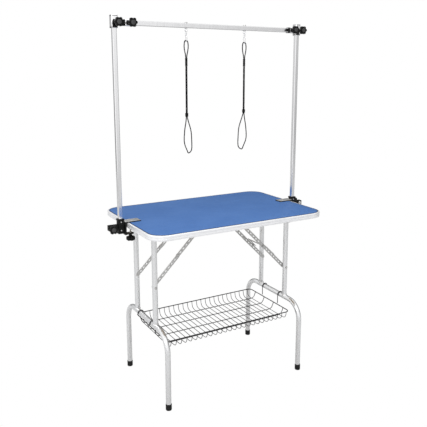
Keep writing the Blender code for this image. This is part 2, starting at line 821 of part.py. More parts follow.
def noose_points(side):
    """The cord from the ferrule down through the slide, round the noose and back up."""
    x = NOOSE_X[side]
    slide = SLIDE_Z[side]
    left, right, lean = LOOP_SHAPE[side]
    drop = slide - LOOP_BOTTOM
    top = FERRULE_BOTTOM - GAP
    half_slide = SLIDE_HEIGHT / 2
    route = [
        (-STRAND_X, top),
        (-STRAND_X, (top + slide) / 2),
        (-STRAND_X, slide + 2 * half_slide),
        (-STRAND_X, slide - half_slide),
        (-0.30 * left, slide - 0.16 * drop),
        (-0.85 * left, slide - 0.42 * drop),
        (-left, slide - 0.70 * drop),
        (lean - 0.62 * left, LOOP_BOTTOM + 0.09 * drop),
        (lean, LOOP_BOTTOM + CORD_RADIUS),
        (lean + 0.62 * right, LOOP_BOTTOM + 0.09 * drop),
        (right, slide - 0.70 * drop),
        (0.85 * right, slide - 0.42 * drop),
        (0.30 * right, slide - 0.16 * drop),
        (STRAND_X, slide - half_slide),
        (STRAND_X, slide + 2 * half_slide),
        (STRAND_X, (top + slide) / 2),
        (STRAND_X, top),
    ]
    return [Vector((x + u, 0, z)) for u, z in route]


def noose(side):
    x = NOOSE_X[side]
    top_loop = tube("top_loop", smooth_path(top_loop_points(x), 20), CORD_RADIUS)
    finish(top_loop, f"cord_top_loop_{side}", CORD)
    loop = tube("noose", smooth_path(noose_points(side), 60), CORD_RADIUS)
    finish(loop, f"cord_noose_{side}", CORD)
    ferrule_outline = rounded_rectangle(0.0115, 0.0075, 0.003, 4)
    middle = Matrix.Translation((x, 0, (FERRULE_TOP + FERRULE_BOTTOM) / 2))
    ferrule = plate("ferrule", [ferrule_outline], FERRULE_TOP - FERRULE_BOTTOM, middle)
    finish(ferrule, f"noose_ferrule_{side}", BLACK)
    slot_width = 2 * (STRAND_X + CORD_RADIUS + GAP)
    slot_depth = 2 * (CORD_RADIUS + GAP)
    slot = rounded_rectangle(slot_width, slot_depth, 0.0015, 3)
    outside = rounded_rectangle(0.0155, 0.0095, 0.004, 4)
    slide = plate("slide", [outside, slot], SLIDE_HEIGHT, Matrix.Translation((x, 0, SLIDE_Z[side])))
    finish(slide, f"noose_slide_{side}", BLACK)


tabletop()
crossbar()
for table_side in SIDES:
    leg_frame(table_side)
    hinge(table_side)
    stay_channel(table_side)
    stays(table_side)
    clamp_jaw(table_side)
    clamp_socket(table_side)
    clamp_screw(table_side)
    post_lock_knob(table_side)
    arm_post(table_side)
    corner_sleeve(table_side)
    top_knobs(table_side)
    eye_bolt(table_side)
    snap_hook(table_side)
    noose(table_side)
    for leg_end in ENDS:
        foot(table_side, leg_end)
        basket_hook(table_side, leg_end)
basket()
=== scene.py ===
"""The looks of the folding grooming table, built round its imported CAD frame."""

import json
import math

import bmesh
import bpy
from mathutils import Matrix, Vector


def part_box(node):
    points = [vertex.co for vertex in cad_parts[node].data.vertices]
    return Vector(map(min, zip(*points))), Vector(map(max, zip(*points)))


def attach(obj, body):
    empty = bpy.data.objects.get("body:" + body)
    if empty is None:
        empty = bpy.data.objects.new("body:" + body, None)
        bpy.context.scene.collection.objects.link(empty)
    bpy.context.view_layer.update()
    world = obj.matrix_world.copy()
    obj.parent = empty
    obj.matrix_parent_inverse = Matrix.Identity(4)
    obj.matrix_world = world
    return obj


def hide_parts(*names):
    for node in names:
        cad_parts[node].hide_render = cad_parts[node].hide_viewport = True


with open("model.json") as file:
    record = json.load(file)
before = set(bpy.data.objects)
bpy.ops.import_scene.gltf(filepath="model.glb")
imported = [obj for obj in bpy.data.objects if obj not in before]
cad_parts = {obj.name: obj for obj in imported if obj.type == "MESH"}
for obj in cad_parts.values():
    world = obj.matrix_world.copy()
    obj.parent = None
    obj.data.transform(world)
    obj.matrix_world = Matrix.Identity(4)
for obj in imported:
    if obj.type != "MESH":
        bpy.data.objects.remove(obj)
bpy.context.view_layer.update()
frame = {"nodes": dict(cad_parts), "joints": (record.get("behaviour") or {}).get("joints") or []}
JOINTS = {joint["name"]: joint for joint in frame["joints"]}
SIDES = {"left": -1, "right": 1}
ENDS = {"front": -1, "rear": 1}
X, Y, Z = Vector((1, 0, 0)), Vector((0, 1, 0)), Vector((0, 0, 1))

# The design's own sizes that its boxes don't give
TUBE_RADIUS = 0.0125
CORNER_RADIUS = 0.075
BOW_BEND = 0.085
BOW_Z = 0.355
UPRIGHT_Y = 0.107
TRIM_WIDTH = 0.008
CORD_RADIUS = 0.00225
STRAND_X = 0.00255
NOOSE_X = {"left": -0.1414, "right": 0.172}
NOOSE_SLIDE_Z = {"left": 1.313, "right": 1.321}
NOOSE_BOTTOM = 1.132
HOOK_WIRE = 0.0018
KNOB_THICKNESS = 0.018
KNOB_LOBES = 6
THREAD_PITCH = 0.0016
STAY_WIDTH = 0.018
STAY_SPAN = 0.25
STAY_LINK = STAY_SPAN * math.sqrt(2) / 2
STAY_SHEET = 0.0018
STAY_SLOTS = 7
UPPER_STAY_Y = 0.0895
UPPER_RIVET_Y = 0.0873
LOWER_STAY_Y = 0.0925
LOWER_RIVET_Y = 0.0942
TIE_AT = 0.58
TIE_OFFSET = 0.0105
TIE_INNER_Y = 0.0880
TIE_ARM_Y = 0.073
TIE_TAB = 0.008
TIE_RISE = 0.056
TIE_BAND = 0.015
BASKET_RUNS_Y = (-0.128, -0.043, 0.043, 0.128)
BASKET_CROSS_WIRES = 25

# What keeps neighbouring pieces from touching, and where shading turns sharp
CLEARANCE = 0.0003
SHARP_ANGLE = math.radians(40)

# The picture's camera and the studio's light
CAMERA_LENS = 48.351
CAMERA_SHIFT = -0.055
CAMERA_PLACE = (-1.3703, -2.3840, 1.4990)
CAMERA_TURN = (math.radians(78.5564), 0, math.radians(-29.9217))
LIGHT_FROM = (-0.62, -0.42, 0.66)
STUDIO_STRENGTH = 1.1
STUDIO_LEVELS = ((0.30, 0.16), (0.47, 0.50), (0.66, 1.0))
LAMP_TARGET = Vector((0, 0, 0.9))


# Camera
def add_camera():
    data = bpy.data.cameras.new("camera")
    data.lens = CAMERA_LENS
    data.sensor_width = 36.0
    data.shift_y = CAMERA_SHIFT
    camera = bpy.data.objects.new("camera", data)
    camera.location = CAMERA_PLACE
    camera.rotation_euler = CAMERA_TURN
    bpy.context.scene.collection.objects.link(camera)
    bpy.context.scene.camera = camera


add_camera()


# Materials
class Shader:
    """A Principled material with the few node steps that the finishes below share."""

    def __init__(self, name, color, roughness, metallic=0.0, specular=0.5):
        self.material = bpy.data.materials.new(name)
        self.material.use_nodes = True
        self.tree = self.material.node_tree
        self.principled = self.tree.nodes["Principled BSDF"]
        self.set("Base Color", (*color, 1.0))
        self.set("Roughness", roughness)
        self.set("Metallic", metallic)
        self.set("Specular IOR Level", specular)
        coordinates = self.tree.nodes.new("ShaderNodeTexCoord")
        self.position = coordinates.outputs["Object"]

    def set(self, socket, value):
        self.principled.inputs[socket].default_value = value

    def link(self, source, target):
        self.tree.links.new(source, target)

    def stretched(self, scale):
        """Object coordinates multiplied by a scale for each axis."""
        mapping = self.tree.nodes.new("ShaderNodeMapping")
        mapping.inputs["Scale"].default_value = scale
        self.link(self.position, mapping.inputs["Vector"])
        return mapping.outputs["Vector"]

    def noise(self, scale, detail=4.0, stretch=(1, 1, 1)):
        node = self.tree.nodes.new("ShaderNodeTexNoise")
        node.inputs["Scale"].default_value = scale
        node.inputs["Detail"].default_value = detail
        self.link(self.stretched(stretch), node.inputs["Vector"])
        return node.outputs["Fac"]

    def cells(self, scale):
        node = self.tree.nodes.new("ShaderNodeTexVoronoi")
        node.inputs["Scale"].default_value = scale
        self.link(self.position, node.inputs["Vector"])
        return node.outputs["Distance"]

    def ramp(self, source, low, high, start=0.3, end=0.7):
        node = self.tree.nodes.new("ShaderNodeValToRGB")
        node.color_ramp.elements[0].position = start
        node.color_ramp.elements[1].position = end
        node.color_ramp.elements[0].color = (*low, 1.0)
        node.color_ramp.elements[1].color = (*high, 1.0)
        self.link(source, node.inputs["Fac"])
        return node.outputs["Color"]

    def color_by(self, source, low, high, start=0.3, end=0.7):
        self.link(self.ramp(source, low, high, start, end), self.principled.inputs["Base Color"])

    def roughness_by(self, source, low, high):
        node = self.tree.nodes.new("ShaderNodeMapRange")
        node.inputs["To Min"].default_value = low
        node.inputs["To Max"].default_value = high
        self.link(source, node.inputs["Value"])
        self.link(node.outputs["Result"], self.principled.inputs["Roughness"])

    def bump_by(self, source, distance, strength=0.5):
        node = self.tree.nodes.new("ShaderNodeBump")
        node.inputs["Distance"].default_value = distance
        node.inputs["Strength"].default_value = strength
        self.link(source, node.inputs["Height"])
        self.link(node.outputs["Normal"], self.principled.inputs["Normal"])


def blue_mat():
    """Pebbled rubber with a slight mottle."""
    shader = Shader("blue_mat", (0.058, 0.145, 0.37), 0.5, specular=0.2)
    shader.color_by(shader.noise(6.0), (0.052, 0.136, 0.355), (0.064, 0.155, 0.385))
    shader.bump_by(shader.cells(700.0), 0.0004, 0.6)
    shader.roughness_by(shader.noise(40.0), 0.42, 0.60)
    return shader.material


def painted_mat_edge_shade():
    """Painted shade: a dark band along the mat's edge, where it meets the trim."""
    shader = Shader("painted_mat_edge_shade", (0.012, 0.03, 0.085), 0.7, specular=0.2)
    shader.color_by(shader.noise(50.0), (0.008, 0.02, 0.06), (0.016, 0.04, 0.105))
    shader.bump_by(shader.noise(900.0), 0.0002, 0.5)
    return shader.material


def aluminium_trim():
    shader = Shader("aluminium_trim", (0.86, 0.87, 0.88), 0.35, 0.45)
    lines = shader.noise(60.0, 3.0, (0.15, 0.15, 8.0))
    shader.color_by(lines, (0.80, 0.81, 0.83), (0.90, 0.90, 0.92))
    shader.roughness_by(lines, 0.28, 0.45)
    shader.bump_by(lines, 0.0001, 0.25)
    return shader.material


def polished_steel():
    shader = Shader("polished_steel", (0.82, 0.82, 0.83), 0.14, 1.0)
    streaks = shader.noise(30.0, 5.0, (6.0, 6.0, 0.25))
    shader.color_by(streaks, (0.82, 0.82, 0.83), (0.92, 0.92, 0.93))
    shader.roughness_by(streaks, 0.08, 0.22)
    return shader.material


def silver_tube():
    """Silver lacquered tube with a fine metal-flake grain."""
    shader = Shader("silver_tube", (0.76, 0.77, 0.78), 0.24, 0.9)
    shader.color_by(shader.noise(900.0, 2.0), (0.74, 0.75, 0.76), (0.86, 0.86, 0.87))
    shader.roughness_by(shader.noise(25.0), 0.18, 0.26)
    shader.bump_by(shader.noise(1500.0), 0.00002, 0.15)
    return shader.material


def zinc_plate():
    shader = Shader("zinc_plate", (0.52, 0.52, 0.52), 0.4, 0.85)
    mottle = shader.noise(120.0, 6.0)
    shader.color_by(mottle, (0.42, 0.42, 0.42), (0.62, 0.62, 0.61))
    shader.roughness_by(mottle, 0.30, 0.50)
    shader.bump_by(mottle, 0.0001, 0.3)
    return shader.material


def moulded_black():
    shader = Shader("moulded_black", (0.006, 0.006, 0.006), 0.4, specular=0.12)
    shader.color_by(shader.noise(50.0), (0.004, 0.004, 0.004), (0.009, 0.009, 0.009))
    shader.bump_by(shader.noise(1500.0), 0.0001, 0.35)
    shader.roughness_by(shader.noise(80.0), 0.32, 0.50)
    return shader.material


def knob_face():
    """The greyer pad in the middle of a knob."""
    shader = Shader("knob_face", (0.045, 0.045, 0.046), 0.55, specular=0.3)
    shader.color_by(shader.noise(70.0), (0.036, 0.036, 0.037), (0.056, 0.056, 0.057))
    shader.bump_by(shader.noise(1200.0), 0.0001, 0.4)
    return shader.material


def black_rubber():
    shader = Shader("black_rubber", (0.01, 0.01, 0.01), 0.75, specular=0.25)
    shader.color_by(shader.noise(60.0), (0.006, 0.006, 0.006), (0.015, 0.015, 0.015))
    shader.bump_by(shader.noise(900.0), 0.00015, 0.5)
    shader.roughness_by(shader.noise(30.0), 0.65, 0.85)
    return shader.material


def coated_wire():
    shader = Shader("coated_wire", (0.014, 0.014, 0.016), 0.3, specular=0.4)
    shader.color_by(shader.noise(40.0), (0.010, 0.010, 0.011), (0.022, 0.022, 0.024))
    shader.bump_by(shader.noise(700.0), 0.0001, 0.3)
    shader.roughness_by(shader.noise(60.0), 0.25, 0.42)
    return shader.material


def fibreboard():
    shader = Shader("fibreboard", (0.50, 0.40, 0.28), 0.7)
    fibres = shader.noise(90.0, 8.0, (0.4, 1.0, 1.0))
    shader.color_by(fibres, (0.42, 0.33, 0.22), (0.58, 0.47, 0.34))
    shader.bump_by(fibres, 0.0002, 0.4)
    return shader.material


def braided_cord():
    """Black braid with painted glints: light grey flecks that stand in for the strands' sheen."""
    shader = Shader("braided_cord", (0.006, 0.006, 0.007), 0.8, specular=0.15)
    # Painted glints: light grey patches where the braid's sheen would catch the light
    painted_glints = shader.noise(260.0, 1.0, (1.0, 1.0, 0.45))
    shader.color_by(painted_glints, (0.005, 0.005, 0.006), (0.30, 0.30, 0.30), 0.66, 0.72)
    shader.bump_by(shader.noise(1800.0), 0.0002, 0.5)
    shader.roughness_by(shader.noise(300.0), 0.70, 0.90)
    return shader.material


MAT = blue_mat()
# Painted shade in the crease between the mat and the trim
PAINTED_EDGE_SHADE = painted_mat_edge_shade()
TRIM = aluminium_trim()
STEEL = polished_steel()
TUBE = silver_tube()
ZINC = zinc_plate()
BLACK = moulded_black()
KNOB_FACE = knob_face()
RUBBER = black_rubber()
WIRE = coated_wire()
BOARD = fibreboard()
CORD = braided_cord()


# Mesh helpers
def link(obj, material):
    bpy.context.scene.collection.objects.link(obj)
    obj.data.materials.append(material)
    return obj


def from_rings(name, rings, material, cyclic=False):
    """A skin over rings with equally many points: closed on itself, or capped at its ends."""
    builder = bmesh.new()
    loops = [[builder.verts.new(point) for point in ring] for ring in rings]
    pairs = list(zip(loops, loops[1:]))
    if cyclic:
        pairs.append((loops[-1], loops[0]))
    for first, second in pairs:
        count = len(first)
        for index in range(count):
            following = (index + 1) % count
            builder.faces.new((first[index], first[following], second[following], second[index]))
    if not cyclic:
        builder.faces.new(list(reversed(loops[0])))
        builder.faces.new(loops[-1])
    bmesh.ops.recalc_face_normals(builder, faces=builder.faces)
    mesh = bpy.data.meshes.new(name)
    builder.to_mesh(mesh)
    builder.free()
    mesh.shade_smooth()
    mesh.set_sharp_from_angle(angle=SHARP_ANGLE)
    return link(bpy.data.objects.new(name, mesh), material)


def axes(normal):
    """Two directions across the normal."""
    normal = Vector(normal).normalized()
    across = (Z if abs(normal.z) < 0.9 else X).cross(normal).normalized()
    return across, normal.cross(across)


def turned(name, base, normal, profile, material, steps=40):
    """A turned shape: profile pairs are (radius, height along the normal from base)."""
    across, up = axes(normal)
    rings = []
    for radius, height in profile:
        centre = Vector(base) + Vector(normal) * height
        turns = [2 * math.pi * step / steps for step in range(steps)]
        rings.append([centre + (across * math.cos(a) + up * math.sin(a)) * radius for a in turns])
    return from_rings(name, rings, material)


def ring_shape(name, centre, normal, radius, wire, material, steps=40, sides=14):
    """A torus."""
    across, up = axes(normal)
    rings = []
    for step in range(steps):
        a = 2 * math.pi * step / steps
        out = across * math.cos(a) + up * math.sin(a)
        middle = Vector(centre) + out * radius
        turns = [2 * math.pi * side / sides for side in range(sides)]
        section = [out * math.cos(b) + Vector(normal) * math.sin(b) for b in turns]
        rings.append([middle + spoke * wire for spoke in section])
    return from_rings(name, rings, material, cyclic=True)


def wires(name, runs, radius, material, cyclic=False, resolution=4):
    """Round wires through lists of points, as one curve object."""
    curve = bpy.data.curves.new(name, "CURVE")
    curve.dimensions = "3D"
    curve.bevel_depth = radius
    curve.bevel_resolution = resolution
    curve.use_fill_caps = not cyclic
    for run in runs:
        spline = curve.splines.new("POLY")
        spline.points.add(len(run) - 1)
        for spline_point, point in zip(spline.points, run):
            spline_point.co = (*point, 1.0)
        spline.use_cyclic_u = cyclic
    return link(bpy.data.objects.new(name, curve), material)


def plate(name, outlines, thickness, origin, normal, up, material, rounding=0.0004):
    """A flat plate with rounded edges from 2D outlines, the later ones being holes."""
    curve = bpy.data.curves.new(name, "CURVE")
    curve.dimensions = "2D"
    curve.fill_mode = "BOTH"
    curve.extrude = thickness / 2 - rounding
    curve.bevel_depth = rounding
    curve.offset = -rounding
    curve.bevel_resolution = 2
    for outline in outlines:
        spline = curve.splines.new("POLY")
        spline.points.add(len(outline) - 1)
        for spline_point, (u, v) in zip(spline.points, outline):
            spline_point.co = (u, v, 0.0, 1.0)
        spline.use_cyclic_u = True
    obj = link(bpy.data.objects.new(name, curve), material)
    z_axis = Vector(normal).normalized()
    y_axis = Vector(up).normalized()
    basis = Matrix((y_axis.cross(z_axis), y_axis, z_axis)).transposed().to_4x4()
    obj.matrix_world = Matrix.Translation(origin) @ basis
    return obj


def block(name, low, high, material, rounding=0.0015):
    """A box with rounded edges between two opposite corners."""
    lowest = Vector([min(a, b) for a, b in zip(low, high)])
    highest = Vector([max(a, b) for a, b in zip(low, high)])
    builder = bmesh.new()
    bmesh.ops.create_cube(builder, size=1.0)
    bmesh.ops.scale(builder, vec=highest - lowest, verts=builder.verts)
    bmesh.ops.translate(builder, vec=(highest + lowest) / 2, verts=builder.verts)
    bmesh.ops.bevel(
        builder,
        geom=builder.edges[:],
        offset=rounding,
        segments=3,
        profile=0.5,
        affect="EDGES",
        clamp_overlap=True,
    )
    mesh = bpy.data.meshes.new(name)
    builder.to_mesh(mesh)
    builder.free()
    mesh.shade_smooth()
    mesh.set_sharp_from_angle(angle=SHARP_ANGLE)
    return link(bpy.data.objects.new(name, mesh), material)


def sleeve(name, axis_x, half, hole, low, high, material, rounding=0.001):
    """A square sleeve round a vertical post."""
    outer = rounded_rectangle(2 * half, 2 * half, 0.003)
    inner = rounded_rectangle(2 * hole, 2 * hole, 0.002)
    middle = (axis_x, 0, (low + high) / 2)
    return plate(name, [outer, inner], high - low, middle, Z, Y, material, rounding)


def merged(name, parts):
    """One mesh piece from several, each keeping its own material."""
    bpy.context.view_layer.update()
    depsgraph = bpy.context.evaluated_depsgraph_get()
    materials = []
    builder = bmesh.new()
    for part in parts:
        mesh = bpy.data.meshes.new_from_object(part.evaluated_get(depsgraph))
        mesh.transform(part.matrix_world)
        material = part.data.materials[0]
        if material not in materials:
            materials.append(material)
        before = len(builder.faces)
        builder.from_mesh(mesh)
        builder.faces.ensure_lookup_table()
        for face in builder.faces[before:]:
            face.material_index = materials.index(material)
        bpy.data.meshes.remove(mesh)
    bmesh.ops.remove_doubles(builder, verts=builder.verts, dist=0.000001)
    mesh = bpy.data.meshes.new(name)
    builder.to_mesh(mesh)
    builder.free()
    mesh.shade_smooth()
    mesh.set_sharp_from_angle(angle=SHARP_ANGLE)
    for part in parts:
        bpy.data.objects.remove(part, do_unlink=True)
    obj = bpy.data.objects.new(name, mesh)
    bpy.context.scene.collection.objects.link(obj)
    for material in materials:
        mesh.materials.append(material)
    return obj


def place(obj, body, slot, *nodes):
    """Rides a piece on its body and hides the nodes that it stands for; its slot is not used."""
    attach(obj, body)
    if nodes:
        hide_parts(*nodes)
    return obj


def arc(centre, radius, start, end, steps):
    """Points on a 2D arc, angles in degrees."""
    points = []
    for step in range(steps + 1):
        angle = math.radians(start + (end - start) * step / steps)
        points.append((centre[0] + radius * math.cos(angle), centre[1] + radius * math.sin(angle)))
    return points


def circle(centre, radius, steps=20):
    return arc(centre, radius, 0, 360, steps)[:-1]


def rounded_rectangle(length, width, radius, steps=8):
    x = length / 2 - radius
    y = width / 2 - radius
    points = []
    for quarter, (sx, sy) in enumerate(((1, 1), (-1, 1), (-1, -1), (1, -1))):
        points += arc((sx * x, sy * y), radius, 90 * quarter, 90 * quarter + 90, steps)
    return points


def smooth_path(points, count):
    """Points spread along a smooth curve through the given ones."""
    points = [Vector(point) for point in points]
    padded = [points[0] * 2 - points[1]] + points + [points[-1] * 2 - points[-2]]
    spans = len(points) - 1
    result = []
    for step in range(count + 1):
        place_on = min(step / count * spans, spans - 1e-9)
        span = int(place_on)
        t = place_on - span
        a, b, c, d = padded[span : span + 4]
        square_term = (2 * a - 5 * b + 4 * c - d) * t**2
        cube_term = (3 * b - a - 3 * c + d) * t**3
        result.append(0.5 * (2 * b + (c - a) * t + square_term + cube_term))
    return result


def pivot(joint_name):
    return Vector(JOINTS[joint_name]["pos_m"])


def lower_stay_pivot(side, end):
    """The right side's two lower stays are one piece on one joint."""
    return pivot({"left": f"lower_stay_left_{end}_fold", "right": "lower_stay_right_fold"}[side])


# Cords
def braided_tube(name, points):
    """A round cord in the XZ plane whose surface carries two crossing sets of strands."""
    sides = 20
    lay = 0.011
    rings = []
    travelled = 0.0
    for index, point in enumerate(points):
        before = points[max(index - 1, 0)]
        after = points[min(index + 1, len(points) - 1)]
        tangent = (after - before).normalized()
        across = Y.cross(tangent).normalized()
        if index:
            travelled += (point - points[index - 1]).length
        ring = []
        for side in range(sides):
            angle = 2 * math.pi * side / sides
            twist = 2 * math.pi * travelled / lay
            strands = abs(math.sin(2 * (angle + twist))) * abs(math.sin(2 * (angle - twist)))
            radius = CORD_RADIUS * (1.04 + 0.07 * strands)
            ring.append(point + (across * math.cos(angle) + Y * math.sin(angle)) * radius)
        rings.append(ring)
    return from_rings(name, rings, CORD)


def top_loop_route(side):
    """From the ferrule over the snap hook and back."""
    x = NOOSE_X[side]
    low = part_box(f"noose_ferrule_{side}")[1][2] + CLEARANCE
    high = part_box(f"snap_hook_{side}")[0][2] + 2 * HOOK_WIRE + CORD_RADIUS + CLEARANCE
    rising = [(STRAND_X, 0.0), (0.0040, 0.014), (0.0082, 0.032), (0.0104, 0.052)]
    route = [(-u, low + h) for u, h in rising]
    route += [(-0.0078, high - 0.0042), (0, high), (0.0078, high - 0.0042)]
    route += [(u, low + h) for u, h in reversed(rising)]
    return [(x + u, 0, z) for u, z in route]


def noose_route(side):
    """From the ferrule down through the slide, round the noose and back up."""
    x = NOOSE_X[side]
    slide = NOOSE_SLIDE_Z[side]
    left, right, lean = {"left": (0.014, 0.025, 0.008), "right": (0.031, 0.016, -0.010)}[side]
    drop = slide - NOOSE_BOTTOM
    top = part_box(f"noose_ferrule_{side}")[0][2] - CLEARANCE
    route = [
        (-STRAND_X, top),
        (-STRAND_X, (top + slide) / 2),
        (-STRAND_X, slide + 0.016),
        (-STRAND_X, slide - 0.008),
        (-0.30 * left, slide - 0.16 * drop),
        (-0.85 * left, slide - 0.42 * drop),
        (-left, slide - 0.70 * drop),
        (lean - 0.62 * left, NOOSE_BOTTOM + 0.09 * drop),
        (lean, NOOSE_BOTTOM + CORD_RADIUS),
        (lean + 0.62 * right, NOOSE_BOTTOM + 0.09 * drop),
        (right, slide - 0.70 * drop),
        (0.85 * right, slide - 0.42 * drop),
        (0.30 * right, slide - 0.16 * drop),
        (STRAND_X, slide - 0.008),
        (STRAND_X, slide + 0.016),
        (STRAND_X, (top + slide) / 2),
        (STRAND_X, top),
    ]
    return [(x + u, 0, z) for u, z in route]


def ferrule(side):
    """The black crimped sleeve that joins the cord's ends."""
    low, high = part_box(f"noose_ferrule_{side}")
    height = high[2] - low[2]
    x = NOOSE_X[side]
    outline = rounded_rectangle(high[0] - low[0], high[1] - low[1], 0.0032)
    levels = [(0, 0.86), (0.02, 0.97), (0.05, 1.0)]
    for groove in (0.25, 0.5, 0.75):
        levels += [(groove - 0.06, 1.0), (groove - 0.03, 0.90)]
        levels += [(groove + 0.03, 0.90), (groove + 0.06, 1.0)]
    levels += [(0.95, 1.0), (0.98, 0.97), (1, 0.86)]
    rings = [[(x + u * s, v * s, low[2] + h * height) for u, v in outline] for h, s in levels]
    piece = from_rings(f"ferrule_{side}", rings, BLACK)
    return place(piece, f"noose_{side}", "black_plastic", f"noose_ferrule_{side}")


def slide_lock(side):
    """The slide on the two strands, with three finger ridges."""
    low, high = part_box(f"noose_slide_{side}")
    x = NOOSE_X[side]
    middle = (low[2] + high[2]) / 2
    slot = rounded_rectangle(0.0102, 0.0051, 0.0015, 4)
    width = high[0] - low[0]
    depth = high[1] - low[1]
    ridge = 0.003
    parts = []
    sections = [(0, high[2] - low[2], 0.9)]
    sections += [(offset, ridge, 1.0) for offset in (-0.006, 0, 0.006)]
    for offset, height, share in sections:
        outline = rounded_rectangle(width * share, depth * share, 0.0038)
        origin = (x, 0, middle + offset)
        parts.append(plate("slide_part", [outline, slot], height, origin, Z, Y, BLACK, 0.0006))
    slide = merged(f"slide_lock_{side}", parts)
    return place(slide, f"noose_slide_{side}", "black_plastic", f"noose_slide_{side}")


def noose(side):
    body = f"noose_{side}"
    sleeve_piece = ferrule(side)
    slide = slide_lock(side)
    top_points = smooth_path(top_loop_route(side), 110)
    top_loop = braided_tube(f"top_loop_{side}", top_points)
    place(top_loop, body, "cord", f"cord_top_loop_{side}")
    points = smooth_path(noose_route(side), 560)
    cord = braided_tube(f"noose_cord_{side}", points)
    place(cord, body, "cord", f"cord_noose_{side}")


for table_side in SIDES:
    noose(table_side)


# Tabletop
def tabletop():
    low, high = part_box("edge_trim")
    length = high[0] - low[0]
    width = high[1] - low[1]
    height = high[2] - low[2]
    section = [
        (-TRIM_WIDTH, -0.0028),
        (-TRIM_WIDTH + 0.0012, -0.0004),
        (-0.0050, 0.0),
        (-0.0022, -0.0003),
        (-0.0006, -0.0014),
        (0.0, -0.0034),
        (0.0, -0.0088),
        (-0.0007, -0.0094),
        (-0.0007, -0.0158),
        (0.0, -0.0164),
        (0.0, -height + 0.0030),
        (-0.0010, -height + 0.0008),
        (-0.0030, -height),
        (-TRIM_WIDTH, -height),
    ]
    rings = []
    outline = rounded_rectangle(length, width, CORNER_RADIUS, 16)
    inside = rounded_rectangle(length - 0.02, width - 0.02, CORNER_RADIUS - 0.01, 16)
    for outer, inner in zip(outline, inside):
        out = (Vector(outer) - Vector(inner)).normalized()
        rings.append([(outer[0] + out.x * u, outer[1] + out.y * u, high[2] + v) for u, v in section])
    trim = from_rings("edge_trim_profile", rings, TRIM, cyclic=True)
    place(trim, "table", "trim", "edge_trim")

    mat_low, mat_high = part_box("tabletop_mat")
    radius = CORNER_RADIUS - TRIM_WIDTH
    mat_top = mat_high[2]

    def mat_outline(inset):
        mat_length = mat_high[0] - mat_low[0] - 2 * inset
        mat_width = mat_high[1] - mat_low[1] - 2 * inset
        return rounded_rectangle(mat_length, mat_width, radius - inset, 16)

    levels = [(mat_low[2], 0.0), (mat_top - 0.0012, 0.0), (mat_top - 0.0004, 0.0004), (mat_top, 0.0013)]
    rings = [[(u, v, z) for u, v in mat_outline(inset)] for z, inset in levels]
    place(from_rings("rubber_mat", rings, MAT), "table", "mat", "tabletop_mat")

    # A thin dark plate round the mat's edge: painted shade in the crease against the trim
    edge_shade_overlap = 0.0004
    edge_shade_width = 0.0030
    edge_shade_outlines = [mat_outline(-edge_shade_overlap), mat_outline(edge_shade_width)]
    edge_shade = plate("edge_shade", edge_shade_outlines, 0.0012, (0, 0, mat_top - 0.0002), Z, Y, PAINTED_EDGE_SHADE, 0.0004)
    place(merged("painted_mat_edge_shade", [edge_shade]), "table", "mat")


tabletop()


# Legs
def bow_route(x):
    """Up one leg, over the bow and down the other."""
    low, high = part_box("left_leg_frame")
    half = high[1] - TUBE_RADIUS
    y = half - BOW_BEND
    z = BOW_Z - BOW_BEND
    route = [(-half, low[2]), *arc((-y, z), BOW_BEND, 180, 90, 20)]
    route += [*arc((y, z), BOW_BEND, 90, 0, 20), (half, low[2])]
    return [(x, v, w) for v, w in route]


def bolt_head(name, base, normal, radius, height, material=ZINC):
    """A hexagon head on a washer."""
    washer_profile = [(radius * 1.35, 0), (radius * 1.4, height * 0.08), (radius * 1.35, height * 0.2)]
    washer = turned(name + "_washer", base, normal, washer_profile, material)
    head_profile = [(radius, height * 0.2), (radius, height * 0.85), (radius * 0.86, height)]
    head = turned(name + "_head", base, normal, head_profile, material, 6)
    return [washer, head]


def leg_frame(side):
    """The bow and its two uprights, with a weld bead and the stay's bolt head on each."""
    low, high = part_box(f"{side}_leg_frame")
    x = (low[0] + high[0]) / 2
    parts = [wires("bow", [bow_route(x)], TUBE_RADIUS, TUBE, resolution=10)]
    stay_z = lower_stay_pivot(side, "front").z
    for way in ENDS.values():
        y = way * UPRIGHT_Y
        run = [(x, y, BOW_Z + 0.004), (x, y, high[2])]
        parts.append(wires("upright", [run], TUBE_RADIUS, TUBE, resolution=10))
        bead = [(TUBE_RADIUS - 0.001, 0), (TUBE_RADIUS + 0.0022, 0.001), (TUBE_RADIUS + 0.0016, 0.0030)]
        bead += [(TUBE_RADIUS - 0.0005, 0.0046)]
        parts.append(turned("weld", (x, y, BOW_Z + TUBE_RADIUS - 0.0026), Z, bead, TUBE))
        outer_face = y + way * (TUBE_RADIUS - 0.0006)
        parts += bolt_head("stay_bolt", (x, outer_face, stay_z), Y * way, 0.0048, 0.0045)
    place(merged(f"{side}_leg_tubes", parts), f"leg_{side}", "tube", f"{side}_leg_frame")


def foot(side, end):
    """A ribbed rubber ferrule on the tube's end."""
    low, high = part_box(f"foot_{side}_{end}")
    centre = ((low[0] + high[0]) / 2, (low[1] + high[1]) / 2, low[2])
    radius = (high[0] - low[0]) / 2
    height = high[2] - low[2]
    profile = [(radius - 0.004, 0), (radius - 0.0008, 0.0006), (radius, 0.0030)]
    for rib in range(3):
        z = 0.007 + rib * 0.0055
        profile += [(radius, z), (radius - 0.0007, z + 0.0008)]
        profile += [(radius - 0.0007, z + 0.0018), (radius, z + 0.0026)]
    profile += [(radius, height - 0.0015), (radius - 0.0005, height), (TUBE_RADIUS + 0.0002, height)]
    profile += [(TUBE_RADIUS + 0.0002, 0.0062)]
    piece = turned(f"rubber_foot_{side}_{end}", centre, Z, profile, RUBBER)
    place(piece, f"leg_{side}", "rubber", f"foot_{side}_{end}")


# Stays
def slotted(start, end, radius, steps):
    """The outline of a slot or link with round ends along the first axis."""
    return arc((start, 0), radius, 90, 270, steps) + arc((end, 0), radius, -90, 90, steps)


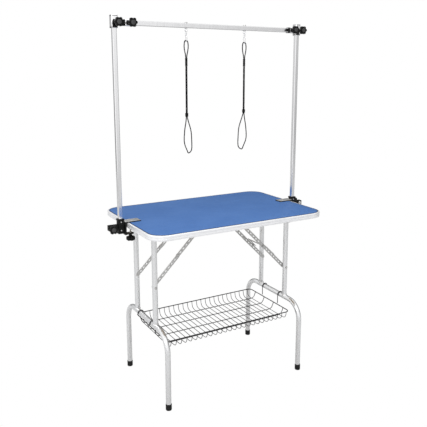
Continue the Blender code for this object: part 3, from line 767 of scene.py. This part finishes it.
def link_parts(start, direction, y, rivet_y):
    """A perforated channel link with a ridge on each long edge and a rivet at each end."""
    half = STAY_WIDTH / 2
    outline = slotted(0, STAY_LINK, half, 14)
    holes = []
    for number in range(1, STAY_SLOTS + 1):
        along = STAY_LINK * number / (STAY_SLOTS + 1)
        holes.append(slotted(along - 0.003, along + 0.003, 0.0022, 8))
    direction = Vector(direction).normalized()
    across = Vector((0, -1, 0)).cross(direction)
    origin = Vector((start.x, y, start.z))
    parts = [plate("link", [outline, *holes], STAY_SHEET, origin, -Y, across, ZINC, 0.0003)]
    ridge = 0.0012
    for edge in (-1, 1):
        ridge_start = origin + direction * 0.006 + across * edge * (half - ridge)
        ridge_end = origin + direction * (STAY_LINK - 0.006) + across * edge * (half - ridge)
        parts.append(wires("ridge", [[ridge_start, ridge_end]], ridge, ZINC))
    rivet_way = 1 if rivet_y > y else -1
    reach = abs(rivet_y - y)
    rivet = [(0.0048, 0), (0.0048, reach * 0.6), (0.0036, reach * 0.92), (0.0015, reach)]
    parts.append(turned("rivet", origin, Y * rivet_way, rivet, ZINC, 20))
    knee = origin + direction * STAY_LINK
    knee_rivet = [(0.0045, 0), (0.0045, 0.0009), (0.0030, 0.0013), (0.0010, 0.0015)]
    parts.append(turned("knee_rivet", knee, Y * rivet_way, knee_rivet, ZINC, 20))
    return parts


def stay_tie(base):
    """The bracket between the right lower stays, with a tab on each link."""
    along = Vector((-1, 0, 1)).normalized()
    across = Vector((along.z, 0, -along.x))
    foot_of_tie = Vector((base.x, 0, base.z)) + along * STAY_LINK * TIE_AT
    right_half = [(LOWER_STAY_Y, -TIE_TAB), (LOWER_STAY_Y, TIE_TAB)]
    right_half += [(TIE_INNER_Y, TIE_TAB), (TIE_INNER_Y, TIE_RISE)]
    outline = [(-u, v) for u, v in reversed(right_half)]
    outline += [(-TIE_ARM_Y, -TIE_TAB), (-TIE_ARM_Y, TIE_RISE - TIE_BAND)]
    outline += [(TIE_ARM_Y, TIE_RISE - TIE_BAND), (TIE_ARM_Y, -TIE_TAB)]
    outline += right_half
    band_middle = TIE_RISE - TIE_BAND / 2
    holes = [circle((u, band_middle), 0.0028) for u in (-0.06, -0.03, 0, 0.03, 0.06)]
    middle = foot_of_tie + across * TIE_OFFSET
    parts = [plate("tie", [outline, *holes], 0.0019, middle, across, along, ZINC, 0.0003)]
    tab_outline = [(-TIE_TAB, -0.0110), (TIE_TAB, -0.0110), (TIE_TAB, -0.006), (-TIE_TAB, -0.006)]
    for way in ENDS.values():
        origin = foot_of_tie + Y * way * LOWER_STAY_Y
        parts.append(plate("tab", [tab_outline], STAY_SHEET, origin, -Y, -across, ZINC, 0.0003))
    return parts


def stays(side):
    """The upper and lower links; on the right the lower ones are one piece with their tie."""
    sign = SIDES[side]
    lowers = {}
    for end, way in ENDS.items():
        name = f"upper_stay_{side}_{end}"
        parts = link_parts(pivot(name + "_fold"), (sign, 0, -1), way * UPPER_STAY_Y, way * UPPER_RIVET_Y)
        place(merged(f"stay_link_{name}", parts), name, "zinc", name)
        base = lower_stay_pivot(side, end)
        lowers[end] = link_parts(base, (-sign, 0, 1), way * LOWER_STAY_Y, way * LOWER_RIVET_Y)
    if side == "left":
        for end, parts in lowers.items():
            name = f"lower_stay_left_{end}"
            place(merged(f"stay_link_{name}", parts), name, "zinc", name)
        return
    parts = lowers["front"] + lowers["rear"] + stay_tie(lower_stay_pivot("right", "front"))
    place(merged("stay_links_lower_right", parts), "lower_stay_right", "zinc", "lower_stay_right")


for table_side in SIDES:
    leg_frame(table_side)
    stays(table_side)
    for leg_end in ENDS:
        foot(table_side, leg_end)


# Basket
def basket():
    """Round welded wires: a rim, four lengthwise runs that curl up at the ends, and cross wires."""
    low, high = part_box("basket")
    rim_radius = 0.0024
    wire_radius = 0.0015
    rim_z = high[2] - rim_radius
    floor_z = low[2] + wire_radius
    half_x = high[0] - rim_radius
    half_y = high[1] - rim_radius
    rim_points = [(u, v, rim_z) for u, v in rounded_rectangle(2 * half_x, 2 * half_y, 0.022, 8)]
    rim = wires("rim", [rim_points], rim_radius, WIRE, cyclic=True, resolution=4)
    runs = []
    for y in BASKET_RUNS_Y:
        rise = [(half_x, rim_z), (half_x - 0.004, rim_z - 0.012), (half_x - 0.012, floor_z + 0.010)]
        rise += [(half_x - 0.024, floor_z + 0.004), (half_x - 0.040, floor_z + 0.003)]
        ends = smooth_path([(x, y, z) for x, z in rise], 12)
        runs.append([Vector((-p.x, p.y, p.z)) for p in ends] + [p for p in reversed(ends)])
    long_runs = wires("long_runs", runs, 0.0019, WIRE, resolution=3)
    crosses = []
    for number in range(BASKET_CROSS_WIRES):
        x = (half_x - 0.020) * (2 * number / (BASKET_CROSS_WIRES - 1) - 1)
        side_curve = [(half_y, rim_z), (half_y - 0.0015, rim_z - 0.012)]
        side_curve += [(half_y - 0.006, floor_z + 0.012), (half_y - 0.016, floor_z + 0.003)]
        side_curve.append((half_y - 0.032, floor_z))
        curve = smooth_path([(x, y, z) for y, z in side_curve], 10)
        crosses.append([Vector((p.x, -p.y, p.z)) for p in curve] + [p for p in reversed(curve)])
    cross_wires = wires("cross_wires", crosses, wire_radius, WIRE, resolution=3)
    place(merged("wire_basket", [rim, long_runs, cross_wires]), "basket", "wire", "basket")


def basket_hook(side, end):
    """A bent wire that goes over the bow and down inboard to the basket."""
    sign = SIDES[side]
    low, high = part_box(f"basket_hook_{side}_{end}")
    y = (low[1] + high[1]) / 2
    radius = 0.002
    middle_x = (low[0] + high[0]) / 2
    reach = (high[0] - low[0]) / 2 - radius
    inboard = middle_x - sign * reach
    outline = [(inboard, low[2])]
    for step in range(21):
        angle = math.pi * step / 20
        outline.append((middle_x - sign * reach * math.cos(angle), BOW_Z + reach * math.sin(angle)))
    outline.append((middle_x + sign * reach, BOW_Z - 0.006))
    body = "basket" if side == "right" else "leg_left"
    hook = wires(f"hook_{side}_{end}", [[(u, y, z) for u, z in outline]], radius, WIRE, resolution=4)
    place(hook, body, "wire", f"basket_hook_{side}_{end}")


basket()
for table_side in SIDES:
    for leg_end in ENDS:
        basket_hook(table_side, leg_end)


# Star knobs
def star_knob(node, normal, body):
    """A six-lobed moulded knob with a dished face, a collar behind it and a steel stud."""
    low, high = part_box(node)
    normal = Vector(normal)
    middle = (Vector(low) + Vector(high)) / 2
    spans = Vector(high) - Vector(low)
    along = abs(normal.dot(spans))
    front = middle + normal * along / 2
    tip = middle - normal * along / 2
    radius = max(abs(spans.dot(direction)) for direction in axes(normal)) / 2
    across, up = axes(normal)
    steps = 96

    def lobed(share, depth):
        ring = []
        for step in range(steps):
            angle = 2 * math.pi * step / steps
            lobe = 0.5 + 0.5 * math.cos(KNOB_LOBES * angle)
            reach = radius * (0.74 + 0.26 * math.sqrt(lobe)) * share
            spoke = across * math.cos(angle) + up * math.sin(angle)
            ring.append(front - normal * depth + spoke * reach)
        return ring

    levels = [(0.30, KNOB_THICKNESS), (0.80, KNOB_THICKNESS), (0.94, KNOB_THICKNESS - 0.001)]
    levels += [(1.0, KNOB_THICKNESS - 0.0035), (1.0, 0.0040), (0.95, 0.0014), (0.86, 0.0002)]
    levels += [(0.78, 0.0), (0.70, 0.0012), (0.66, 0.0026), (0.30, 0.0026)]
    head = from_rings("knob_head", [lobed(*level) for level in levels], BLACK)
    face_profile = [(radius * 0.50, 0), (radius * 0.50, 0.0016)]
    face_profile += [(radius * 0.45, 0.0022), (radius * 0.10, 0.0024)]
    face = turned("knob_face", front - normal * 0.0030, normal, face_profile, KNOB_FACE)
    back = front - normal * KNOB_THICKNESS
    reach = (tip - back).length
    collar_length = min(0.008, reach * 0.5)
    collar_profile = [(0.0085, -0.001), (0.0085, collar_length * 0.8), (0.0068, collar_length)]
    neck = [] if reach < 0.02 else [turned("knob_collar", back, -normal, collar_profile, BLACK)]
    stud_profile = [(0.0028, -0.002)]
    thread = 0
    while thread * THREAD_PITCH < reach - 0.004:
        z = thread * THREAD_PITCH
        stud_profile += [(0.0034, z), (0.0039, z + THREAD_PITCH / 2)]
        thread += 1
    stud_profile += [(0.0036, reach - 0.002), (0.0028, reach)]
    stud = turned("knob_stud", back, -normal, stud_profile, ZINC, 20)
    place(merged(f"{node}_star", [head, face, *neck, stud]), body, "black_plastic", node)


for table_side, side_sign in SIDES.items():
    for knob_name in ("outer", "inner"):
        star_knob(f"top_knob_{table_side}_{knob_name}", -Y, f"top_knob_{table_side}_{knob_name}")
    star_knob(f"post_lock_knob_{table_side}", Y * side_sign, f"post_lock_knob_{table_side}")
    star_knob(f"clamp_screw_{table_side}", -Z, f"clamp_screw_{table_side}")


# Clamps
def clamp_jaw(side):
    """A C-shaped clamp: a zinc upper jaw on a rubber shoe, and a black web and lower arm."""
    way = -SIDES[side]
    low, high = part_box(f"clamp_jaw_{side}")
    back = low[0] if side == "left" else high[0]
    tip = high[0] if side == "left" else low[0]
    half = (high[1] - low[1]) / 2
    plate_top = high[2]
    mat_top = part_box("tabletop_mat")[1][2] + CLEARANCE
    web = back + way * 0.008
    upper_low = (back, -half + 0.002, mat_top + 0.003)
    upper_high = (tip - way * 0.002, half - 0.002, plate_top + 0.001)
    web_low = (back, -half + 0.004, low[2])
    web_high = (web, half - 0.004, plate_top - 0.001)
    parts = [
        block("shoe", (back, -half, mat_top), (tip, half, mat_top + 0.0038), RUBBER, 0.0008),
        block("upper", upper_low, upper_high, ZINC, 0.0006),
        block("web", web_low, web_high, BLACK, 0.001),
    ]
    screw = pivot(f"clamp_screw_{side}_turn")
    arm_tip = screw.x + way * 0.012
    arm_middle = low[2] + 0.0025
    width = abs(arm_tip - web) + 0.002
    outline = rounded_rectangle(width, 0.030, 0.008)
    centre_x = (arm_tip + web) / 2
    hole = circle((screw.x - centre_x, 0), 0.0044)
    parts.append(plate("arm", [outline, hole], 0.005, (centre_x, 0, arm_middle), Z, Y, BLACK, 0.0006))
    for rib in (-1, 1):
        rib_low = (back + way * 0.001, rib * 0.012 - 0.0012, plate_top)
        rib_high = (tip - way * 0.018, rib * 0.012 + 0.0012, plate_top + 0.0022)
        parts.append(block("rib", rib_low, rib_high, ZINC, 0.0006))
    place(merged(f"jaw_plate_{side}", parts), "table", "zinc", f"clamp_jaw_{side}")


def clamp_socket(side):
    """A moulded square socket with a rim, ribs and a split ear for the lock knob."""
    way = -SIDES[side]
    low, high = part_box(f"clamp_socket_{side}")
    post_low, post_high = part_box(f"arm_post_{side}")
    x = (post_low[0] + post_high[0]) / 2
    lock = pivot(f"post_lock_knob_{side}_turn")
    half = (high[1] - low[1]) / 2
    hole = (post_high[1] - post_low[1]) / 2 + CLEARANCE
    parts = [sleeve("body", x, half - 0.0015, hole, low[2] + 0.001, high[2], BLACK)]
    for z, height in ((low[2] + 0.004, 0.006), (low[2] + 0.030, 0.004), (high[2] - 0.004, 0.007)):
        parts.append(sleeve("band", x, half, hole, z - height / 2, z + height / 2, BLACK))
    inset = half - 0.003
    floor_low = (x - inset, -inset, low[2])
    floor_high = (x + inset, inset, low[2] + 0.0014)
    parts.append(block("floor", floor_low, floor_high, BLACK, 0.0005))
    outer = lock.x - way * 0.012
    inner = x - way * (half - 0.002)
    for cheek in (-1, 1):
        cheek_low = (outer, cheek * 0.0020, lock.z - 0.0125)
        cheek_high = (inner, cheek * 0.0110, lock.z + 0.0125)
        parts.append(block("ear", cheek_low, cheek_high, BLACK, 0.0018))
    nut_face = (lock.x, way * 0.0105, lock.z)
    parts += bolt_head("lock_nut", nut_face, Y * way, 0.0062, 0.005)
    screw_head = [(0.0032, 0), (0.0030, 0.0010), (0.0016, 0.0016)]
    for z in (low[2] + 0.016, high[2] - 0.014):
        face = (x, -half + 0.0014, z)
        parts.append(turned("socket_screw", face, -Y, screw_head, ZINC, 20))
    place(merged(f"post_socket_{side}", parts), "table", "black_plastic", f"clamp_socket_{side}")


# Overhead frame
def corner_sleeve(side):
    """A polished sleeve on the post, with a black plastic collar and stop for the crossbar."""
    sign = SIDES[side]
    low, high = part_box(f"corner_sleeve_{side}")
    bar_low, bar_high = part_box("crossbar")
    bar_z = (bar_low[2] + bar_high[2]) / 2
    post_low, post_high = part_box(f"arm_post_{side}")
    x = (post_low[0] + post_high[0]) / 2
    hole = (post_high[0] - post_low[0]) / 2 + CLEARANCE
    half = high[1]
    collar_end = high[0] if side == "left" else low[0]
    parts = [sleeve("post_sleeve", x, half, hole, low[2], high[2] - 0.002, STEEL)]
    for z in (low[2] + 0.003, high[2] - 0.003):
        parts.append(sleeve("lip", x, half, hole, z - 0.003, z + 0.003, STEEL))
    collar_start = x - sign * (half - 0.001)
    outline = rounded_rectangle(0.026, 0.026, 0.003)
    opening_width = bar_high[1] - bar_low[1] + 2 * CLEARANCE
    opening_height = bar_high[2] - bar_low[2] + 2 * CLEARANCE
    opening = rounded_rectangle(opening_width, opening_height, 0.002)
    change = collar_end + sign * {"left": 0.040, "right": 0.009}[side]
    finishes = {"left": (BLACK, STEEL), "right": (STEEL, BLACK)}[side]
    spans = ((collar_start, change), (change, collar_end))
    for (first, second), finish in zip(spans, finishes):
        middle = ((first + second) / 2, 0, bar_z)
        collar_length = abs(second - first)
        parts.append(plate("collar", [outline, opening], collar_length, middle, X, Z, finish, 0.001))
    for name in ("outer", "inner"):
        knob_low, knob_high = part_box(f"top_knob_{side}_{name}")
        knob_x = (knob_low[0] + knob_high[0]) / 2
        boss = [(0.0090, 0.0120), (0.0090, 0.0150), (0.0070, 0.0180), (0.0070, 0.0290)]
        boss += [(0.0062, 0.0300), (0.0044, 0.0300), (0.0044, 0.0165)]
        parts.append(turned("boss", (knob_x, 0, bar_z), -Y, boss, BLACK))
    place(merged(f"sleeve_{side}", parts), "arm_bar", "chrome", f"corner_sleeve_{side}")
    cap_base = post_high[2] + 0.0004
    cap_half = hole - 0.001
    cap_low = (x - cap_half, -cap_half, cap_base)
    cap_high = (x + cap_half, cap_half, cap_base + 0.0022)
    cap = block("cap", cap_low, cap_high, BLACK)
    place(merged(f"post_cap_{side}", [cap]), "table", "black_plastic")


def eye_bolt(side):
    """An eye below the crossbar, its shank through the bar, and a washer and nut."""
    x = NOOSE_X[side]
    low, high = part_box(f"eye_bolt_{side}")
    bar_low, bar_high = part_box("crossbar")
    eye_radius = 0.0065
    eye_wire = 0.0015
    eye_z = low[2] + eye_radius + eye_wire
    parts = [ring_shape("eye", (x, 0, eye_z), Y, eye_radius, eye_wire, STEEL)]
    bar_base = bar_low[2]
    eye_top = eye_z + eye_radius
    neck = [(0.0016, eye_top), (0.0030, eye_top + 0.002), (0.0030, bar_base - 0.0012)]
    parts.append(turned("neck", (x, 0, 0), Z, neck, STEEL))
    washer = [(0.0078, bar_base - 0.0014), (0.0080, bar_base - 0.0008), (0.0078, bar_base - CLEARANCE)]
    parts.append(turned("washer", (x, 0, 0), Z, washer, ZINC))
    shank = [(0.0030, bar_base - 0.002), (0.0030, high[2] - 0.001), (0.0022, high[2])]
    parts.append(turned("shank", (x, 0, 0), Z, shank, ZINC))
    nut_base = bar_high[2] + CLEARANCE
    parts += bolt_head("nut", (x, 0, nut_base), Z, 0.0058, 0.0052)
    place(merged(f"eye_bolt_with_nut_{side}", parts), "arm_bar", "chrome", f"eye_bolt_{side}")


def snap_hook(side):
    """A swivel ring, a barrel, a long hook and its spring gate with a thumb stud."""
    x = NOOSE_X[side]
    low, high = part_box(f"snap_hook_{side}")
    ring_radius = 0.006
    ring_wire = 0.0015
    ring_z = high[2] - ring_radius - ring_wire
    barrel_top = ring_z - 0.005
    barrel_bottom = barrel_top - 0.008
    radius = 0.0065
    wire = HOOK_WIRE
    parts = [ring_shape("ring", (x, 0, ring_z), X, ring_radius, ring_wire, STEEL)]
    barrel = [(0.0022, 0.001), (0.0042, -0.0005), (0.0042, -0.0028), (0.0034, -0.0036)]
    barrel += [(0.0034, -0.0060), (0.0042, -0.0068), (0.0040, -0.0082), (0.0024, -0.0092)]
    parts.append(turned("barrel", (x, 0, barrel_top), Z, barrel, STEEL))
    top_z = barrel_bottom - radius + 0.001
    low_z = low[2] + wire + radius
    hook = arc((0, top_z), radius, 90, 180, 12) + arc((0, low_z), radius, 180, 360, 24)
    hook.append((radius, low_z + 0.003))
    parts.append(wires("hook", [[(x, u, v) for u, v in hook]], wire, STEEL, resolution=6))
    shoulder = arc((0, top_z), radius, 90, 20, 10)
    parts.append(wires("shoulder", [[(x, u, v) for u, v in shoulder]], wire, STEEL, resolution=6))
    gate = [(x, radius * 0.94, top_z + 0.002), (x, radius, low_z + 0.0034)]
    parts.append(wires("gate", [gate], 0.0013, STEEL, resolution=5))
    stud_base = (x, radius, (top_z + low_z) / 2 + 0.002)
    stud = [(0.0011, 0), (0.0011, 0.0024), (0.0018, 0.0028), (0.0014, 0.0040)]
    parts.append(turned("stud", stud_base, Y, stud, STEEL, 20))
    place(merged(f"swivel_snap_{side}", parts), f"noose_{side}", "chrome", f"snap_hook_{side}")


for table_side in SIDES:
    clamp_jaw(table_side)
    clamp_socket(table_side)
    corner_sleeve(table_side)
    eye_bolt(table_side)
    snap_hook(table_side)


# CAD nodes whose shape is right keep it and take a finish
FINISHES = {
    "tabletop_board": BOARD,
    "crossbar": STEEL,
    "arm_post": STEEL,
    "hinge": ZINC,
    "stay_channel": ZINC,
    "clamp_pad": RUBBER,
}
for node_name, node in frame["nodes"].items():
    for start, finish_material in FINISHES.items():
        if node_name.startswith(start):
            node.data.materials.clear()
            node.data.materials.append(finish_material)


# Studio
def seen_by_camera(tree, for_camera, otherwise):
    """One shader for what the camera sees directly and another for reflections and light."""
    light_path = tree.nodes.new("ShaderNodeLightPath")
    mix = tree.nodes.new("ShaderNodeMixShader")
    tree.links.new(light_path.outputs["Is Camera Ray"], mix.inputs["Fac"])
    tree.links.new(otherwise, mix.inputs[1])
    tree.links.new(for_camera, mix.inputs[2])
    return mix.outputs["Shader"]


def add_world(scene):
    """White behind the object, and a graded studio round it, darker on the right and below."""
    world = bpy.data.worlds.new("studio")
    world.use_nodes = True
    tree = world.node_tree
    coordinates = tree.nodes.new("ShaderNodeTexCoord")
    toward = tree.nodes.new("ShaderNodeVectorMath")
    toward.operation = "DOT_PRODUCT"
    toward.inputs[1].default_value = Vector(LIGHT_FROM).normalized()
    tree.links.new(coordinates.outputs["Generated"], toward.inputs[0])
    spread = tree.nodes.new("ShaderNodeMapRange")
    spread.inputs["From Min"].default_value = -1.0
    tree.links.new(toward.outputs["Value"], spread.inputs["Value"])
    ramp = tree.nodes.new("ShaderNodeValToRGB")
    ramp.color_ramp.elements[0].color = (0.08, 0.08, 0.085, 1.0)
    ramp.color_ramp.elements[1].color = (1.0, 1.0, 1.0, 1.0)
    for position, level in STUDIO_LEVELS:
        element = ramp.color_ramp.elements.new(position)
        element.color = (level, level, level, 1.0)
    tree.links.new(spread.outputs["Result"], ramp.inputs["Fac"])
    graded = tree.nodes["Background"]
    graded.inputs["Strength"].default_value = STUDIO_STRENGTH
    tree.links.new(ramp.outputs["Color"], graded.inputs["Color"])
    white = tree.nodes.new("ShaderNodeBackground")
    shader = seen_by_camera(tree, white.outputs["Background"], graded.outputs["Background"])
    tree.links.new(shader, tree.nodes["World Output"].inputs["Surface"])
    white.inputs["Color"].default_value = (1.0, 1.0, 1.0, 1.0)
    scene.world = world


def add_floor():
    bpy.ops.mesh.primitive_plane_add(size=12, location=(0, 0, -0.0005))
    floor = bpy.context.object
    floor.name = "studio_floor"
    paper = Shader("studio_paper", (0.62, 0.62, 0.62), 0.9)
    glow = paper.tree.nodes.new("ShaderNodeEmission")
    shader = seen_by_camera(paper.tree, glow.outputs["Emission"], paper.principled.outputs["BSDF"])
    paper.link(shader, paper.tree.nodes["Material Output"].inputs["Surface"])
    floor.data.materials.append(paper.material)


def add_lamp(name, location, power, size):
    data = bpy.data.lights.new(name, "AREA")
    data.energy = power
    data.size = size
    lamp = bpy.data.objects.new(name, data)
    lamp.location = location
    lamp.rotation_mode = "QUATERNION"
    lamp.rotation_quaternion = (LAMP_TARGET - Vector(location)).to_track_quat("-Z", "Y")
    bpy.context.scene.collection.objects.link(lamp)


bpy.context.scene.view_settings.view_transform = "Standard"
add_world(bpy.context.scene)
add_floor()
add_lamp("key", (-2.4, -2.6, 3.2), 55, 1.6)
add_lamp("top", (0.2, 0.4, 4.0), 30, 2.4)
